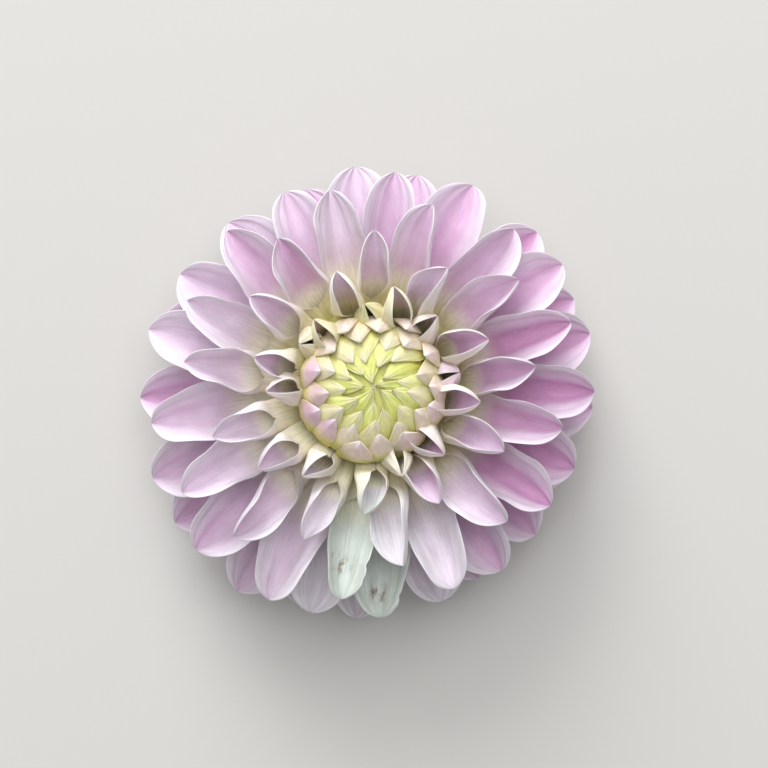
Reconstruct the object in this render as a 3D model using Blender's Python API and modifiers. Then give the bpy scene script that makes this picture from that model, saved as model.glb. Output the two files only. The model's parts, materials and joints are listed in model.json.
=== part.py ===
"""Dahlia flower, cut close under the head and lying face up.

The flower is a spiral of florets.  Floret k, counted outwards from the apex, stands one golden
divergence further round than floret k - 1.  How far a floret has opened is its maturity: its
count plus a small lead on the side where the bloom has opened furthest.  The youngest florets are
keeled scales wrapped on a dome, the next are rolled tubes round it, and the older ones open from
a rolled claw into a pointed cup.  All lengths are in metres and all angles in degrees.
"""
import math

import bmesh
import bpy
import numpy as np

NAME = "dahlia_flower"

# The spiral.
FLORETS = 119
DOME_FLORETS = 45
DIVERGENCE = 137.43
APEX_AZIMUTH = 350.0
OPEN_SIDE = 266.0
OPEN_SIDE_LEAD = 3.3
SEED = 11

# The bloom: how far the tips of the open florets reach from the flower's axis.
REACH = 0.0497
REACH_OF_YOUNGEST = 0.0190
REACH_GROWTH = 27.0
LEAN_SIDE = 229.0
LEAN = 0.045
LONG_SIDE = 42.0
OVAL = 0.030

# The receptacle that the florets stand on.
ROOT_RADIUS = 0.0090
ROOT_RIM_HEIGHT = 0.0125
ROOT_CROWN = 0.0075

# The dome of unopened florets.
DOME_RADIUS = 0.0170
DOME_EQUATOR = 0.0262
DOME_RISE = 0.0098
DOME_FOOT_RADIUS = 0.0050
DOME_FOOT = 0.0226
DOME_WAIST = 0.80
DOME_WAIST_DROP = 0.0032
DOME_CORE_SHARE = 0.86
DOME_LEAN = 0.0011
SCALE_SPACING = 0.00205
SCALE_INSET = 0.00235
SCALE_SPAN = 50.0
SCALE_FOOT_LIMIT = 96.0
SCALE_HALF_WIDTH = 0.0023
SCALE_HALF_WIDTH_GROWTH = 0.0012
SCALE_ROOT = 0.70
SCALE_LEVEL = 0.845
SCALE_LEVEL_CHANGE = 0.02
SCALE_KEEL = 0.035
SCALE_LIFT = 0.090

# The stem stub, the green cup with its outer bracts, and the papery inner bracts above it.  The
# bract zone is the room under the florets that the bracts have to themselves.
STUB_RADIUS = 0.0036
STUB_HEIGHT = 0.0050
CUP_RADIUS = 0.0086
CUP_HEIGHT = 0.0084
COLLAR_FOOT = 0.0087
COLLAR_HEIGHT = 0.0100
COLLAR_RADIUS = 0.0095
OUTER_BRACTS = 7
OUTER_BRACT_AZIMUTH = 5.0
OUTER_BRACT_HALF_WIDTH = 0.0042
INNER_BRACTS = 8
INNER_BRACT_AZIMUTH = 20.0
INNER_BRACT_HALF_WIDTH = 0.0052
INNER_BRACT_STAGGER = 0.0006
BRACT_ZONE_RADIUS = 0.0255
BRACT_ZONE_EDGE = 0.0078

BLADE_THICKNESS = 0.0007
GAP = 0.0003

# The forms of the open florets, from the youngest tube to the oldest floret at the back, at
# evenly spaced stages of growth.
YOUNGEST = -16.0
OLDEST = 64.0
HALF_WIDTH = (0.0088, 0.0091, 0.0093, 0.0096, 0.0099, 0.0101, 0.0100, 0.0097, 0.0094)
TIP_HEIGHT = (0.0336, 0.0350, 0.0340, 0.0304, 0.0250, 0.0189, 0.0129, 0.0063, 0.0024)
ROOT_SLOPE = (0.0, 8.0, 18.0, 22.0, 16.0, 6.0, -4.0, -12.0, -20.0)
TIP_SLOPE = (104.0, 66.0, 36.0, 16.0, 2.0, -8.0, -14.0, -14.0, -8.0)
ROLLED_SHARE = (0.74, 0.60, 0.48, 0.42, 0.38, 0.35, 0.32, 0.30, 0.28)
MIDDLE_ROLL = (150.0, 134.0, 114.0, 100.0, 86.0, 74.0, 63.0, 55.0, 50.0)
TIP_ROLL = (105.0, 98.0, 86.0, 75.0, 64.0, 54.0, 46.0, 42.0, 40.0)
CREASE = (0.05, 0.10, 0.18, 0.26, 0.36, 0.46, 0.52, 0.52, 0.48)
FLATTENING = (0.10, 0.12, 0.20, 0.42, 0.62, 0.72, 0.75, 0.75, 0.75)
CLAW_ROLL = 156.0
CLAW_SPREAD = 0.25
UNROLLING = 6.0
CLOSING = 1.5
TIP_ROLLING = 1.5
CREASE_WIDTH = 0.12
FILLING_WIDTH = 0.8
HOLLOWING = 5.0
LONG_CLAW_SIDE = 185.0
LONG_CLAW_CHANGE = 0.07
ARM = 0.50

# A floret's outline: widths are shares of the widest, and places are shares of the length.
CLAW_START = 0.42
WIDEST_PLACE = 0.74
WIDEST_PLACE_CHANGE = -0.06
TIP_FULLNESS = 2.2
TIP_BLUNTNESS = 0.52
TIP_BLUNTNESS_CHANGE = 0.16
NARROWEST = 0.10

# Rows and columns of a floret: claw rows are shares of the rolled length, open rows are shares of
# the open length, and columns are shares of the half width.
CLAW_ROWS = np.array((0.50, 0.78))
OPEN_ROWS = np.array((0.0, 0.35, 0.78, 1.0))
COLUMNS = np.array((-1.0, -0.36, 0.36, 1.0))
SECTION_STEPS = 80

# Rows and columns of a dome scale, and its taper from the widest row to the tip.
SCALE_ROWS = np.array((0.0, 0.55, 0.82, 1.0))[:, None]
SCALE_COLUMNS = np.array((-1.0, 0.0, 1.0))[None]
SCALE_FULLNESS = 1.7
SCALE_BLUNTNESS = 0.85
SCALE_NARROWEST = 0.12

# Rows and columns of a bract.
BRACT_ROWS = np.array((0.0, 0.3, 0.7, 1.0))[:, None]
BRACT_COLUMNS = np.array((-1.0, 0.0, 1.0))[None]
BRACT_ARM = 0.36
BRACT_NARROWEST = 0.1


# ---------------------------------------------------------------- the spiral and its stages

def azimuth(k):
    """The direction of floret k round the flower's axis, in radians."""
    return math.radians(APEX_AZIMUTH - DIVERGENCE * k)


def maturity(k):
    """The floret's count from the first open one, ahead of it on the side that opened first."""
    lead = OPEN_SIDE_LEAD * math.cos(azimuth(k) - math.radians(OPEN_SIDE))
    return k - DOME_FLORETS + YOUNGEST + 1 + lead


def at_stage(values, age):
    """A value between the stages of growth, for an age from 0 (youngest) to 1 (oldest)."""
    return float(np.interp(age * (len(values) - 1), range(len(values)), values))


def variations():
    """Seeded small departures of each floret: yaw, twist, reach, width and lift of the tip."""
    draws = np.random.default_rng(SEED).normal(size=(FLORETS, 5))
    return np.clip(draws, -2.0, 2.0) * (1.6, 5.0, 0.012, 0.03, 0.0006)


# ---------------------------------------------------------------- open florets

def even_pace(share):
    """The Bezier's parameter t where 1.5 t - 1.5 t^2 + t^3 is a share of the floret's length."""
    fine = np.linspace(0, 1, 201)
    return np.interp(share, 1.5 * fine - 1.5 * fine ** 2 + fine ** 3, fine)


def midrib(k, age, t, change):
    """The midrib's distance from the axis, height and slope: a cubic Bezier from root to tip."""
    radius = ROOT_RADIUS * math.sqrt((k + 0.5) / FLORETS)
    root = np.array((radius, ROOT_RIM_HEIGHT + ROOT_CROWN * (1 - (radius / ROOT_RADIUS) ** 2)))
    young = REACH - REACH_OF_YOUNGEST
    growth = (maturity(k) - YOUNGEST) / REACH_GROWTH
    lean = 1 + LEAN * math.cos(azimuth(k) - math.radians(LEAN_SIDE))
    lean += OVAL * math.cos(2 * (azimuth(k) - math.radians(LONG_SIDE)))
    reach = (REACH * lean - young * math.exp(-growth * abs(growth))) * (1 + change[2])
    tip = np.array((reach, at_stage(TIP_HEIGHT, age) + change[4]))
    arm = ARM * np.linalg.norm(tip - root)
    slopes = np.radians((at_stage(ROOT_SLOPE, age), at_stage(TIP_SLOPE, age)))
    heading = np.stack((np.cos(slopes), np.sin(slopes)), axis=1)
    knots = np.array((root, root + arm * heading[0], tip - arm * heading[1], tip))
    t = even_pace(t)[:, None]
    point = ((1 - t) ** 3 * knots[0] + 3 * t * (1 - t) ** 2 * knots[1]
             + 3 * t ** 2 * (1 - t) * knots[2] + t ** 3 * knots[3])
    step = ((1 - t) ** 2 * (knots[1] - knots[0]) + 2 * t * (1 - t) * (knots[2] - knots[1])
            + t ** 2 * (knots[3] - knots[2]))
    return point[:, 0], point[:, 1], np.arctan2(step[:, 1], step[:, 0])


def outline(t, age):
    """Half width along the floret as a share of the widest: a claw, a blade, a pointed tip.

    The claw widens as a sine, and the tip is the arch (1 - u^fullness)^bluntness.
    """
    widest = WIDEST_PLACE + WIDEST_PLACE_CHANGE * age
    rising = np.sin(np.clip(t / widest, 0, 1) * math.pi / 2)
    claw = CLAW_START + (1 - CLAW_START) * rising
    beyond = np.clip((t - widest) / (1 - widest), 0, 1)
    point = (1 - beyond ** TIP_FULLNESS) ** (TIP_BLUNTNESS + TIP_BLUNTNESS_CHANGE * age)
    return np.maximum(claw * point, NARROWEST)


def rolled_length(k, age):
    """The rolled claw's share of the length, more on the side where the claws are long."""
    side = math.cos(azimuth(k) - math.radians(LONG_CLAW_SIDE))
    return at_stage(ROLLED_SHARE, age) + LONG_CLAW_CHANGE * side


def rolled_section(rolled, age, t, x):
    """The floret's cross-section at each t, for x from margin to margin.

    The tangent of the section turns from flat at the midrib to the roll angle at the margin.
    A crease puts part of that turn close to the midrib.  The section is the tangent's integral.
    The roll falls fast from the claw's to the blade's, then slowly to the tip's.
    """
    opened = np.clip((t - rolled) / (1 - rolled), 0, 1)
    middle_roll, tip_roll = at_stage(MIDDLE_ROLL, age), at_stage(TIP_ROLL, age)
    roll = np.radians(middle_roll + (CLAW_ROLL - middle_roll) * (1 - opened) ** UNROLLING
                      + (tip_roll - middle_roll) * opened ** TIP_ROLLING)[:, None]
    crease = (at_stage(CREASE, age) * opened)[:, None]
    steps = np.linspace(0, 1, SECTION_STEPS + 1)[None]
    turn = roll * ((1 - crease) * steps + crease * np.tanh(steps / CREASE_WIDTH))
    middle = (turn[:, 1:] + turn[:, :-1]) / 2
    start = np.zeros((len(t), 1))
    across = np.concatenate((start, np.cumsum(np.cos(middle), axis=1)), axis=1) / SECTION_STEPS
    up = np.concatenate((start, np.cumsum(np.sin(middle), axis=1)), axis=1) / SECTION_STEPS
    pick = np.rint(np.abs(x) * SECTION_STEPS).astype(int)
    side = np.sign(x)[None]
    return across[:, pick] * side, up[:, pick], turn[:, pick] * side, opened[:, None]


def open_floret(k, change):
    """The points of an open floret's lower and upper face, as two grids of rows along it.

    The lower face is the rolled section carried along the midrib.  The upper face lies one blade
    thickness inside it where the floret is open.  In the rolled claw it closes the section off
    from margin to margin, which fills the claw.
    """
    age = float(np.clip((maturity(k) - YOUNGEST) / (OLDEST - YOUNGEST), 0, 1))
    rolled = rolled_length(k, age)
    rows = np.concatenate((rolled * CLAW_ROWS, rolled + (1 - rolled) * OPEN_ROWS))
    radius, height, slope = midrib(k, age, rows, change)
    width = at_stage(HALF_WIDTH, age) * (1 + change[3]) * outline(rows, age)[:, None]
    across, up, turn, opened = rolled_section(rolled, age, rows, COLUMNS)
    closed = (1 - opened) ** CLOSING
    across = across * width * (1 + CLAW_SPREAD * closed)
    up = up * width * (1 - at_stage(FLATTENING, age) * closed)
    inner_across = across - np.sin(turn) * BLADE_THICKNESS
    inner_up = up + np.cos(turn) * BLADE_THICKNESS
    chord_across = across[:, -1:] * COLUMNS * FILLING_WIDTH
    chord_up = up[:, -1:] + 0 * chord_across
    depth = np.clip(opened * HOLLOWING, 0, 1)
    faces = [(across, up), (chord_across * (1 - depth) + inner_across * depth,
                            chord_up * (1 - depth) + inner_up * depth)]
    twist = math.radians(change[1]) * rows[:, None]
    heading = azimuth(k) + math.radians(change[0]) * rows[:, None]
    grids = []
    for across, up in faces:
        side = across * np.cos(twist) - up * np.sin(twist)
        lift = across * np.sin(twist) + up * np.cos(twist)
        out = radius[:, None] - lift * np.sin(slope)[:, None]
        grids.append(np.stack((out * np.cos(heading) - side * np.sin(heading),
                               out * np.sin(heading) + side * np.cos(heading),
                               height[:, None] + lift * np.cos(slope)[:, None]), axis=-1))
    return grids


# ---------------------------------------------------------------- dome scales

def lean_back(points):
    """The dome faces away from the bloom's leaning side: its rim is shifted, its apex isn't."""
    depth = np.clip((DOME_EQUATOR + DOME_RISE - points[..., 2]) / DOME_RISE, 0, 1)
    side = math.radians(LEAN_SIDE)
    shift = np.stack((math.cos(side) * depth, math.sin(side) * depth, 0 * depth), axis=-1)
    return points + DOME_LEAN * shift


def dome_scale(k, change):
    """The outer and inner face of an unopened floret: a keeled, pointed shell on the dome.

    The midrib runs over the dome's ellipsoid from its foot to the tip.  Points beside it start
    out sideways and are drawn back on to the ellipsoid.  The keel and the tip stand proud of it.
    """
    share = k / DOME_FLORETS
    apart = max(SCALE_SPACING * math.sqrt(k + 0.4) - SCALE_INSET, GAP)
    tip_angle = math.asin(apart / DOME_RADIUS)
    foot_angle = min(tip_angle + math.radians(SCALE_SPAN), math.radians(SCALE_FOOT_LIMIT))
    polar = foot_angle + (tip_angle - foot_angle) * SCALE_ROWS
    half_width = (SCALE_HALF_WIDTH + SCALE_HALF_WIDTH_GROWTH * share) * (1 + change[3])
    widest = SCALE_ROWS[1]
    beyond = np.clip((SCALE_ROWS - widest) / (1 - widest), 0, 1)
    taper = np.maximum((1 - beyond ** SCALE_FULLNESS) ** SCALE_BLUNTNESS, SCALE_NARROWEST)
    side = SCALE_COLUMNS * half_width * taper / DOME_RADIUS
    heading = azimuth(k) + math.radians(change[0])
    unit = np.stack((np.sin(polar) * math.cos(heading) - side * math.sin(heading),
                     np.sin(polar) * math.sin(heading) + side * math.cos(heading),
                     np.cos(polar) + 0 * side), axis=-1)
    unit /= np.linalg.norm(unit, axis=-1, keepdims=True)
    keel = SCALE_KEEL * (1 - np.abs(SCALE_COLUMNS))
    outer = SCALE_LEVEL + SCALE_LEVEL_CHANGE * share + keel + SCALE_LIFT * SCALE_ROWS
    semi_axes = np.array((DOME_RADIUS, DOME_RADIUS, DOME_RISE))
    centre = np.array((0, 0, DOME_EQUATOR))
    return [lean_back(centre + unit * size[..., None] * semi_axes)
            for size in (outer, SCALE_ROOT + 0 * outer)]


# ---------------------------------------------------------------- bracts

def bract(heading, root, tip, root_slope, tip_slope, half_width, cup):
    """The lower and upper face of a bract: an ovate blade on a Bezier midrib, cupped across."""
    rows, columns = BRACT_ROWS, BRACT_COLUMNS
    root, tip = np.array(root), np.array(tip)
    arm = BRACT_ARM * np.linalg.norm(tip - root)
    slopes = np.radians((root_slope, tip_slope))
    knots = (root, root + arm * np.array((math.cos(slopes[0]), math.sin(slopes[0]))),
             tip - arm * np.array((math.cos(slopes[1]), math.sin(slopes[1]))), tip)
    point = ((1 - rows) ** 3 * knots[0] + 3 * rows * (1 - rows) ** 2 * knots[1]
             + 3 * rows ** 2 * (1 - rows) * knots[2] + rows ** 3 * knots[3])
    ovate = np.maximum(np.sin(math.pi * (0.16 + 0.84 * rows ** 0.9)) ** 0.8, BRACT_NARROWEST)
    side = columns * half_width * ovate
    lift = cup * half_width * ovate * columns ** 2
    faces = []
    for thickness in (0.0, BLADE_THICKNESS):
        out = point[:, :1] + 0 * side
        height = point[:, 1:] + lift + thickness
        faces.append(np.stack((out * math.cos(heading) - side * math.sin(heading),
                               out * math.sin(heading) + side * math.cos(heading), height), axis=-1))
    return faces


# ---------------------------------------------------------------- meshes and objects

def blade_faces(rows, columns):
    """Triangles that close two stacked grids of points into one blade, facing outwards.

    Both faces of the blade are cut along the same diagonals, so that they can't cross.
    """
    corner = (np.arange(rows - 1)[:, None] * columns + np.arange(columns - 1)[None]).ravel()
    lower = np.stack((corner, corner + 1, corner + columns + 1, corner + columns), axis=-1)
    count = rows * columns
    upper = lower[:, ::-1] + count
    along, across = np.arange(rows) * columns, np.arange(columns)
    edges = (across, along + columns - 1, across[::-1] + (rows - 1) * columns, along[::-1])
    rims = [np.stack((edge[:-1], edge[:-1] + count, edge[1:] + count, edge[1:]), axis=-1)
            for edge in edges]
    halves = ((0, 1, 2), (0, 2, 3))
    lower_triangles = [lower[:, pick] for pick in halves]
    upper_triangles = [upper[:, pick] for pick in ((1, 2, 3), (0, 1, 3))]
    rim_triangles = [rim[:, pick] for rim in rims for pick in halves]
    return np.concatenate(lower_triangles + upper_triangles + rim_triangles)


def blade_object(name, grids, collection):
    """A closed blade as an object, from the grids of its lower and upper face."""
    rows, columns = grids[0].shape[:2]
    points = np.concatenate([grid.reshape(-1, 3) for grid in grids])
    mesh = bpy.data.meshes.new(name)
    mesh.from_pydata(points.tolist(), [], blade_faces(rows, columns).tolist())
    blade = bpy.data.objects.new(name, mesh)
    collection.objects.link(blade)
    return blade


def turned_object(name, profile, collection, segments=32):
    """A solid turned about the flower's axis, from its profile listed from top to bottom."""
    outline = [(0.0, profile[0][1])] + list(profile) + [(0.0, profile[-1][1])]
    mesh = bpy.data.meshes.new(name)
    mesh.from_pydata([(radius, 0.0, height) for radius, height in outline],
                     [(place, place + 1) for place in range(len(outline) - 1)], [])
    turned = bpy.data.objects.new(name, mesh)
    collection.objects.link(turned)
    screw = turned.modifiers.new("turn", "SCREW")
    screw.steps = screw.render_steps = segments
    screw.use_merge_vertices = True
    screw.merge_threshold = 0.00001
    apply_modifiers(turned)
    return turned


def apply_modifiers(target):
    """Bakes the object's modifiers into its mesh."""
    depsgraph = bpy.context.evaluated_depsgraph_get()
    mesh = bpy.data.meshes.new_from_object(target.evaluated_get(depsgraph))
    target.modifiers.clear()
    target.data = mesh


def fuse(core, blades):
    """Joins a core and its collection of blades into one body, and removes the blades."""
    union = core.modifiers.new("fuse", "BOOLEAN")
    union.operation = "UNION"
    union.operand_type = "COLLECTION"
    union.collection = blades
    union.solver = "MANIFOLD"
    apply_modifiers(core)
    for blade in list(blades.objects):
        bpy.data.objects.remove(blade)
    bpy.data.collections.remove(blades)


def carve(target, cutter):
    """Cuts the space of another sub-part out of the target."""
    cut = target.modifiers.new("clear", "BOOLEAN")
    cut.operation = "DIFFERENCE"
    cut.object = cutter
    cut.solver = "MANIFOLD"
    apply_modifiers(target)


def keep_one_body(target):
    """Drops loose scraps and fills sealed hollows: only the largest connected skin stays."""
    mesh = bmesh.new()
    mesh.from_mesh(target.data)
    unseen = set(mesh.verts)
    skins = []
    while unseen:
        skin, front = set(), [unseen.pop()]
        while front:
            vertex = front.pop()
            skin.add(vertex)
            for edge in vertex.link_edges:
                other = edge.other_vert(vertex)
                if other in unseen:
                    unseen.remove(other)
                    front.append(other)
        skins.append(skin)
    skins.sort(key=len)
    for skin in skins[:-1]:
        bmesh.ops.delete(mesh, geom=list(skin), context="VERTS")
    mesh.to_mesh(target.data)
    mesh.free()


def finish(name, colour, roughness):
    """A plain Principled material."""
    material = bpy.data.materials.new(name)
    material.use_nodes = True
    shader = material.node_tree.nodes["Principled BSDF"]
    shader.inputs["Base Color"].default_value = (*colour, 1.0)
    shader.inputs["Roughness"].default_value = roughness
    shader.inputs["Metallic"].default_value = 0.0
    return material


def new_collection(name):
    """A collection linked to the scene."""
    collection = bpy.data.collections.new(name)
    bpy.context.scene.collection.children.link(collection)
    return collection


# ---------------------------------------------------------------- the sub-parts

def dome_profile(clearance):
    """The dome's outline from the top down: half an ellipsoid over a cone to its foot."""
    angles = np.radians((8, 25, 42, 58, 74, 90, 102))
    cap = [((DOME_RADIUS + clearance) * math.sin(angle),
            DOME_EQUATOR + (DOME_RISE + clearance) * math.cos(angle)) for angle in angles]
    waist = (DOME_RADIUS * DOME_WAIST + clearance, DOME_EQUATOR - DOME_WAIST_DROP)
    return cap + [waist, (DOME_FOOT_RADIUS + clearance, DOME_FOOT - clearance)]


def dome_object(name, clearance, share, collection):
    """The dome as a leaning turned solid, wider by the clearance or shrunk to a share of itself."""
    profile = [(radius * share, DOME_EQUATOR + (height - DOME_EQUATOR) * share)
               for radius, height in dome_profile(clearance)[:-1]]
    dome = turned_object(name, profile + [(DOME_FOOT_RADIUS, DOME_FOOT - clearance)], collection)
    for vertex in dome.data.vertices:
        vertex.co = lean_back(np.array(vertex.co))
    return dome


def make_ray_florets(parts, cutters, changes):
    """The open florets, fused to the receptacle and clear of the dome and the bracts."""
    core_profile = [(0.0150, 0.0222), (0.0190, 0.0212), (0.0206, 0.0180), (0.0190, 0.0135),
                    (0.0120, COLLAR_HEIGHT + GAP)]
    core = turned_object("ray_florets", core_profile, parts)
    blades = new_collection("ray_floret_blades")
    for k in range(DOME_FLORETS, FLORETS):
        blade_object("floret", open_floret(k, changes[k]), blades)
    fuse(core, blades)
    dome_space = dome_object("dome_space", GAP, 1.0, cutters)
    zone = [(0.0110, COLLAR_HEIGHT + GAP), (BRACT_ZONE_RADIUS, BRACT_ZONE_EDGE + GAP),
            (BRACT_ZONE_RADIUS, 0.0)]
    bract_space = turned_object("bract_space", zone, cutters)
    for cutter in (dome_space, bract_space):
        carve(core, cutter)
        cutter.hide_render = True
        cutter.display_type = "WIRE"
    keep_one_body(core)
    core.data.materials.append(finish("petal_lavender_pink", (0.78, 0.52, 0.72), 0.55))
    return core


def make_centre_florets(parts, changes):
    """The dome of scales over the growing point, fused to a smaller core."""
    core = dome_object("centre_florets", 0.0, DOME_CORE_SHARE, parts)
    scales = new_collection("dome_scales")
    for k in range(DOME_FLORETS):
        blade_object("scale", dome_scale(k, changes[k]), scales)
    fuse(core, scales)
    keep_one_body(core)
    core.data.materials.append(finish("bud_yellow_green", (0.80, 0.80, 0.50), 0.55))
    return core


def make_inner_bracts(parts):
    """The papery bracts under the back florets, on a collar."""
    profile = [(COLLAR_RADIUS, COLLAR_HEIGHT), (COLLAR_RADIUS, COLLAR_FOOT)]
    collar = turned_object("inner_bracts", profile, parts, segments=24)
    blades = new_collection("inner_bract_blades")
    for place in range(INNER_BRACTS):
        heading = math.radians(INNER_BRACT_AZIMUTH + place * 360 / INNER_BRACTS)
        lower = INNER_BRACT_STAGGER * (place % 2)
        root, tip = (0.0070, 0.0091 - lower), (0.0240, 0.0072 - lower)
        grids = bract(heading, root, tip, root_slope=4, tip_slope=-12,
                      half_width=INNER_BRACT_HALF_WIDTH, cup=0.05)
        blade_object("bract", grids, blades)
    fuse(collar, blades)
    keep_one_body(collar)
    collar.data.materials.append(finish("bract_papery", (0.72, 0.70, 0.45), 0.6))
    return collar


def make_stem_and_bracts(parts):
    """The cut stub of the stem, the green cup under the head and its leafy outer bracts."""
    profile = [(CUP_RADIUS, CUP_HEIGHT), (CUP_RADIUS, 0.0070), (0.0062, 0.0054),
               (STUB_RADIUS, STUB_HEIGHT - 0.0006), (STUB_RADIUS, 0.0)]
    stub = turned_object("stem_and_bracts", profile, parts, segments=24)
    blades = new_collection("outer_bract_blades")
    for place in range(OUTER_BRACTS):
        heading = math.radians(OUTER_BRACT_AZIMUTH + place * 360 / OUTER_BRACTS)
        grids = bract(heading, (0.0066, 0.0066), (0.0185, 0.0016), root_slope=0, tip_slope=-35,
                      half_width=OUTER_BRACT_HALF_WIDTH, cup=0.12)
        blade_object("bract", grids, blades)
    fuse(stub, blades)
    keep_one_body(stub)
    stub.data.materials.append(finish("stem_green", (0.22, 0.36, 0.10), 0.6))
    return stub


def centre_on_base(pieces):
    """Moves every piece so that the middle of the flower's bounding box is over the origin."""
    points = np.array([vertex.co for piece in pieces for vertex in piece.data.vertices])
    middle = (points.min(axis=0) + points.max(axis=0)) / 2
    for piece in pieces:
        piece.location = (-middle[0], -middle[1], 0.0)


def main():
    """Clears the scene and builds the flower's four sub-parts."""
    for leftover in list(bpy.data.objects):
        bpy.data.objects.remove(leftover)
    parts, cutters = new_collection(NAME), new_collection("cutters")
    changes = variations()
    pieces = [make_ray_florets(parts, cutters, changes), make_centre_florets(parts, changes),
              make_inner_bracts(parts), make_stem_and_bracts(parts)]
    centre_on_base(pieces)


main()
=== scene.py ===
"""Dahlia flower: the fine petals, scales, bracts and stem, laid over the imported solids.

The florets follow the spiral of the solids.  Floret k stands one golden divergence round from
floret k - 1, and its maturity says how far it has opened.  Each piece is a surface worked out
from two parameters: t runs along a floret from its root to its tip, and x runs across it from
margin to margin.  Lengths are in metres, and angles in degrees where they are named values.
"""
import json
import math

import bpy
import numpy as np
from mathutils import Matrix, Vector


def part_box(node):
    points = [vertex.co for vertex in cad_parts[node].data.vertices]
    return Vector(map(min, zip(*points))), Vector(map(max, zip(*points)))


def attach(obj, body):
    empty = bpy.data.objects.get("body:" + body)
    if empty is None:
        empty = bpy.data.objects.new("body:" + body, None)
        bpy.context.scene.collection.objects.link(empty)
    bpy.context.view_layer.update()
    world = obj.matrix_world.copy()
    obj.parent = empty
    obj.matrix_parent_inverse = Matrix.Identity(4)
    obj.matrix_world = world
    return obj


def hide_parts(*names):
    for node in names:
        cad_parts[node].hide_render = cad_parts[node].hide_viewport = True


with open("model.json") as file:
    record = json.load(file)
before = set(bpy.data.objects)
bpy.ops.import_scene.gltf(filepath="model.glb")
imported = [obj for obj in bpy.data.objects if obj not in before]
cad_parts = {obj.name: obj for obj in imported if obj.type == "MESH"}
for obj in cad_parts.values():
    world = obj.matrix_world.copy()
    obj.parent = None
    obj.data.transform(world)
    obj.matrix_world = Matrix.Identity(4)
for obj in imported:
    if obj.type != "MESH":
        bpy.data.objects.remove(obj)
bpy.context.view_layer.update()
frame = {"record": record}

bl_info = {
    "name": "Dahlia Flower",
    "version": (1, 0, 0),
    "blender": (4, 5, 0),
    "location": "View3D > Sidebar > Dahlia",
    "description": "Makes the florets, bracts and stem of a cut dahlia flower",
    "category": "Add Mesh",
}

# Driving sizes, from the frame.  The axis of the bloom stands on the middle of the cut face.
AXIS = np.array(frame["record"]["mounts"][0]["pos_m"])
BLOOM_REACH = np.ptp(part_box("ray_florets"), axis=0)[:2].mean() / 2
BLOOM_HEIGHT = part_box("centre_florets")[1][2]
COLLAR_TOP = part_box("inner_bracts")[1][2]
CUP_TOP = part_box("stem_and_bracts")[1][2]
DOME_RADIUS = 0.350 * BLOOM_REACH
DOME_EQUATOR = 0.733 * BLOOM_HEIGHT
DOME_RISE = 1.03 * (BLOOM_HEIGHT - DOME_EQUATOR)

# The spiral.  Florets are counted from the dome's apex outwards.  Florets on the open side
# lead the others by a few florets, and maturity runs from the youngest to the oldest.
FLORETS = 119
DOME_FLORETS = 45
DIVERGENCE = 137.43
APEX_AZIMUTH = 350.0
OPEN_SIDE = 266.0
OPEN_SIDE_LEAD = 3.3
YOUNGEST = -16.0
OLDEST = 64.0
SEED = 11

# The bloom isn't quite round: it leans to one side, and is longer along one line.
LEAN_SIDE = 229.0
LEAN = 0.045
LONG_SIDE = 42.0
OVAL = 0.030
DOME_LEAN = 0.0011

# Midribs of the open florets.  The youngest reach a share of the whole reach, and grow through
# REACH_GROWTH of maturity.  Roots stand inside a radius, a share of the reach, and rise from
# the rim's height by the crown, shares of the height.  The arms of the curve are a share of
# the distance from root to tip.
REACH_OF_YOUNGEST = 0.380
REACH_GROWTH = 27.0
ROOT_RADIUS = 0.181
ROOT_RIM_HEIGHT = 0.350
ROOT_CROWN = 0.210
ARM = 0.50

# Sizes of each floret's seeded departures: yaw and twist in degrees, reach and width as
# shares, and lift of the tip in metres.  Below them is what each column of draws is for.
DEPARTURES = (1.6, 5.0, 0.012, 0.03, 0.0006)
YAW, TWIST, REACH, WIDTH, LIFT = range(5)
TUCKED_SIDE, PHASE, MARK_PLACE, BEND, FLUSHED, MARK_SIDE = 0, 2, 3, 4, 5, 6

# The forms of the open florets at evenly spaced stages, from the youngest tube to the oldest
# floret at the back.  Widths are shares of the reach, and heights are shares of the height.
HALF_WIDTH = (0.180, 0.184, 0.188, 0.194, 0.200, 0.204, 0.200, 0.194, 0.188)
TIP_HEIGHT = (0.940, 0.980, 0.950, 0.850, 0.700, 0.530, 0.360, 0.176, 0.067)
ROOT_SLOPE = (14.0, 16.0, 15.0, 13.0, 7.0, -2.0, -8.0, -14.0, -20.0)
TIP_SLOPE = (106.0, 52.0, 28.0, 14.0, 2.0, -8.0, -14.0, -14.0, -8.0)
ROLLED_SHARE = (0.74, 0.66, 0.55, 0.45, 0.39, 0.35, 0.32, 0.30, 0.28)
MIDDLE_ROLL = (166.0, 142.0, 120.0, 102.0, 86.0, 74.0, 63.0, 55.0, 50.0)
TIP_ROLL = (150.0, 112.0, 92.0, 78.0, 64.0, 54.0, 46.0, 42.0, 40.0)
UNROLLING = (2.2, 2.4, 3.2, 5.5, 8.0, 8.0, 8.0, 8.0, 8.0)
FLATTENING = (0.10, 0.24, 0.46, 0.70, 0.85, 0.92, 0.94, 0.94, 0.94)
CREASE = (0.06, 0.16, 0.34, 0.48, 0.58, 0.66, 0.70, 0.70, 0.66)

# The outline of a floret: shares of its length, and of its widest half width.
WIDEST_AT = 0.74
WIDEST_SHIFT = 0.06
CLAW_WIDTH = 0.42
SPUR_WIDTH = 0.09
LEAST_WIDTH = 0.010

# How a floret is rolled.  The crease turns within a share of the half width, the section is
# added up in steps from midrib to margin, and claws are longer on one side of the bloom.
CLAW_ROLL = 181.0
TUCK = 0.06
CREASE_REACH = 0.10
SECTION_STEPS = 160
LONG_CLAW_SIDE = 185.0
LONG_CLAW_CHANGE = 0.07
CLAW_SPREAD = 0.25

# How far the youngest florets bend, in radians, and how many times more they twist.
YOUNG_BEND = 0.10
YOUNG_TWIST = 4.0

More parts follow.
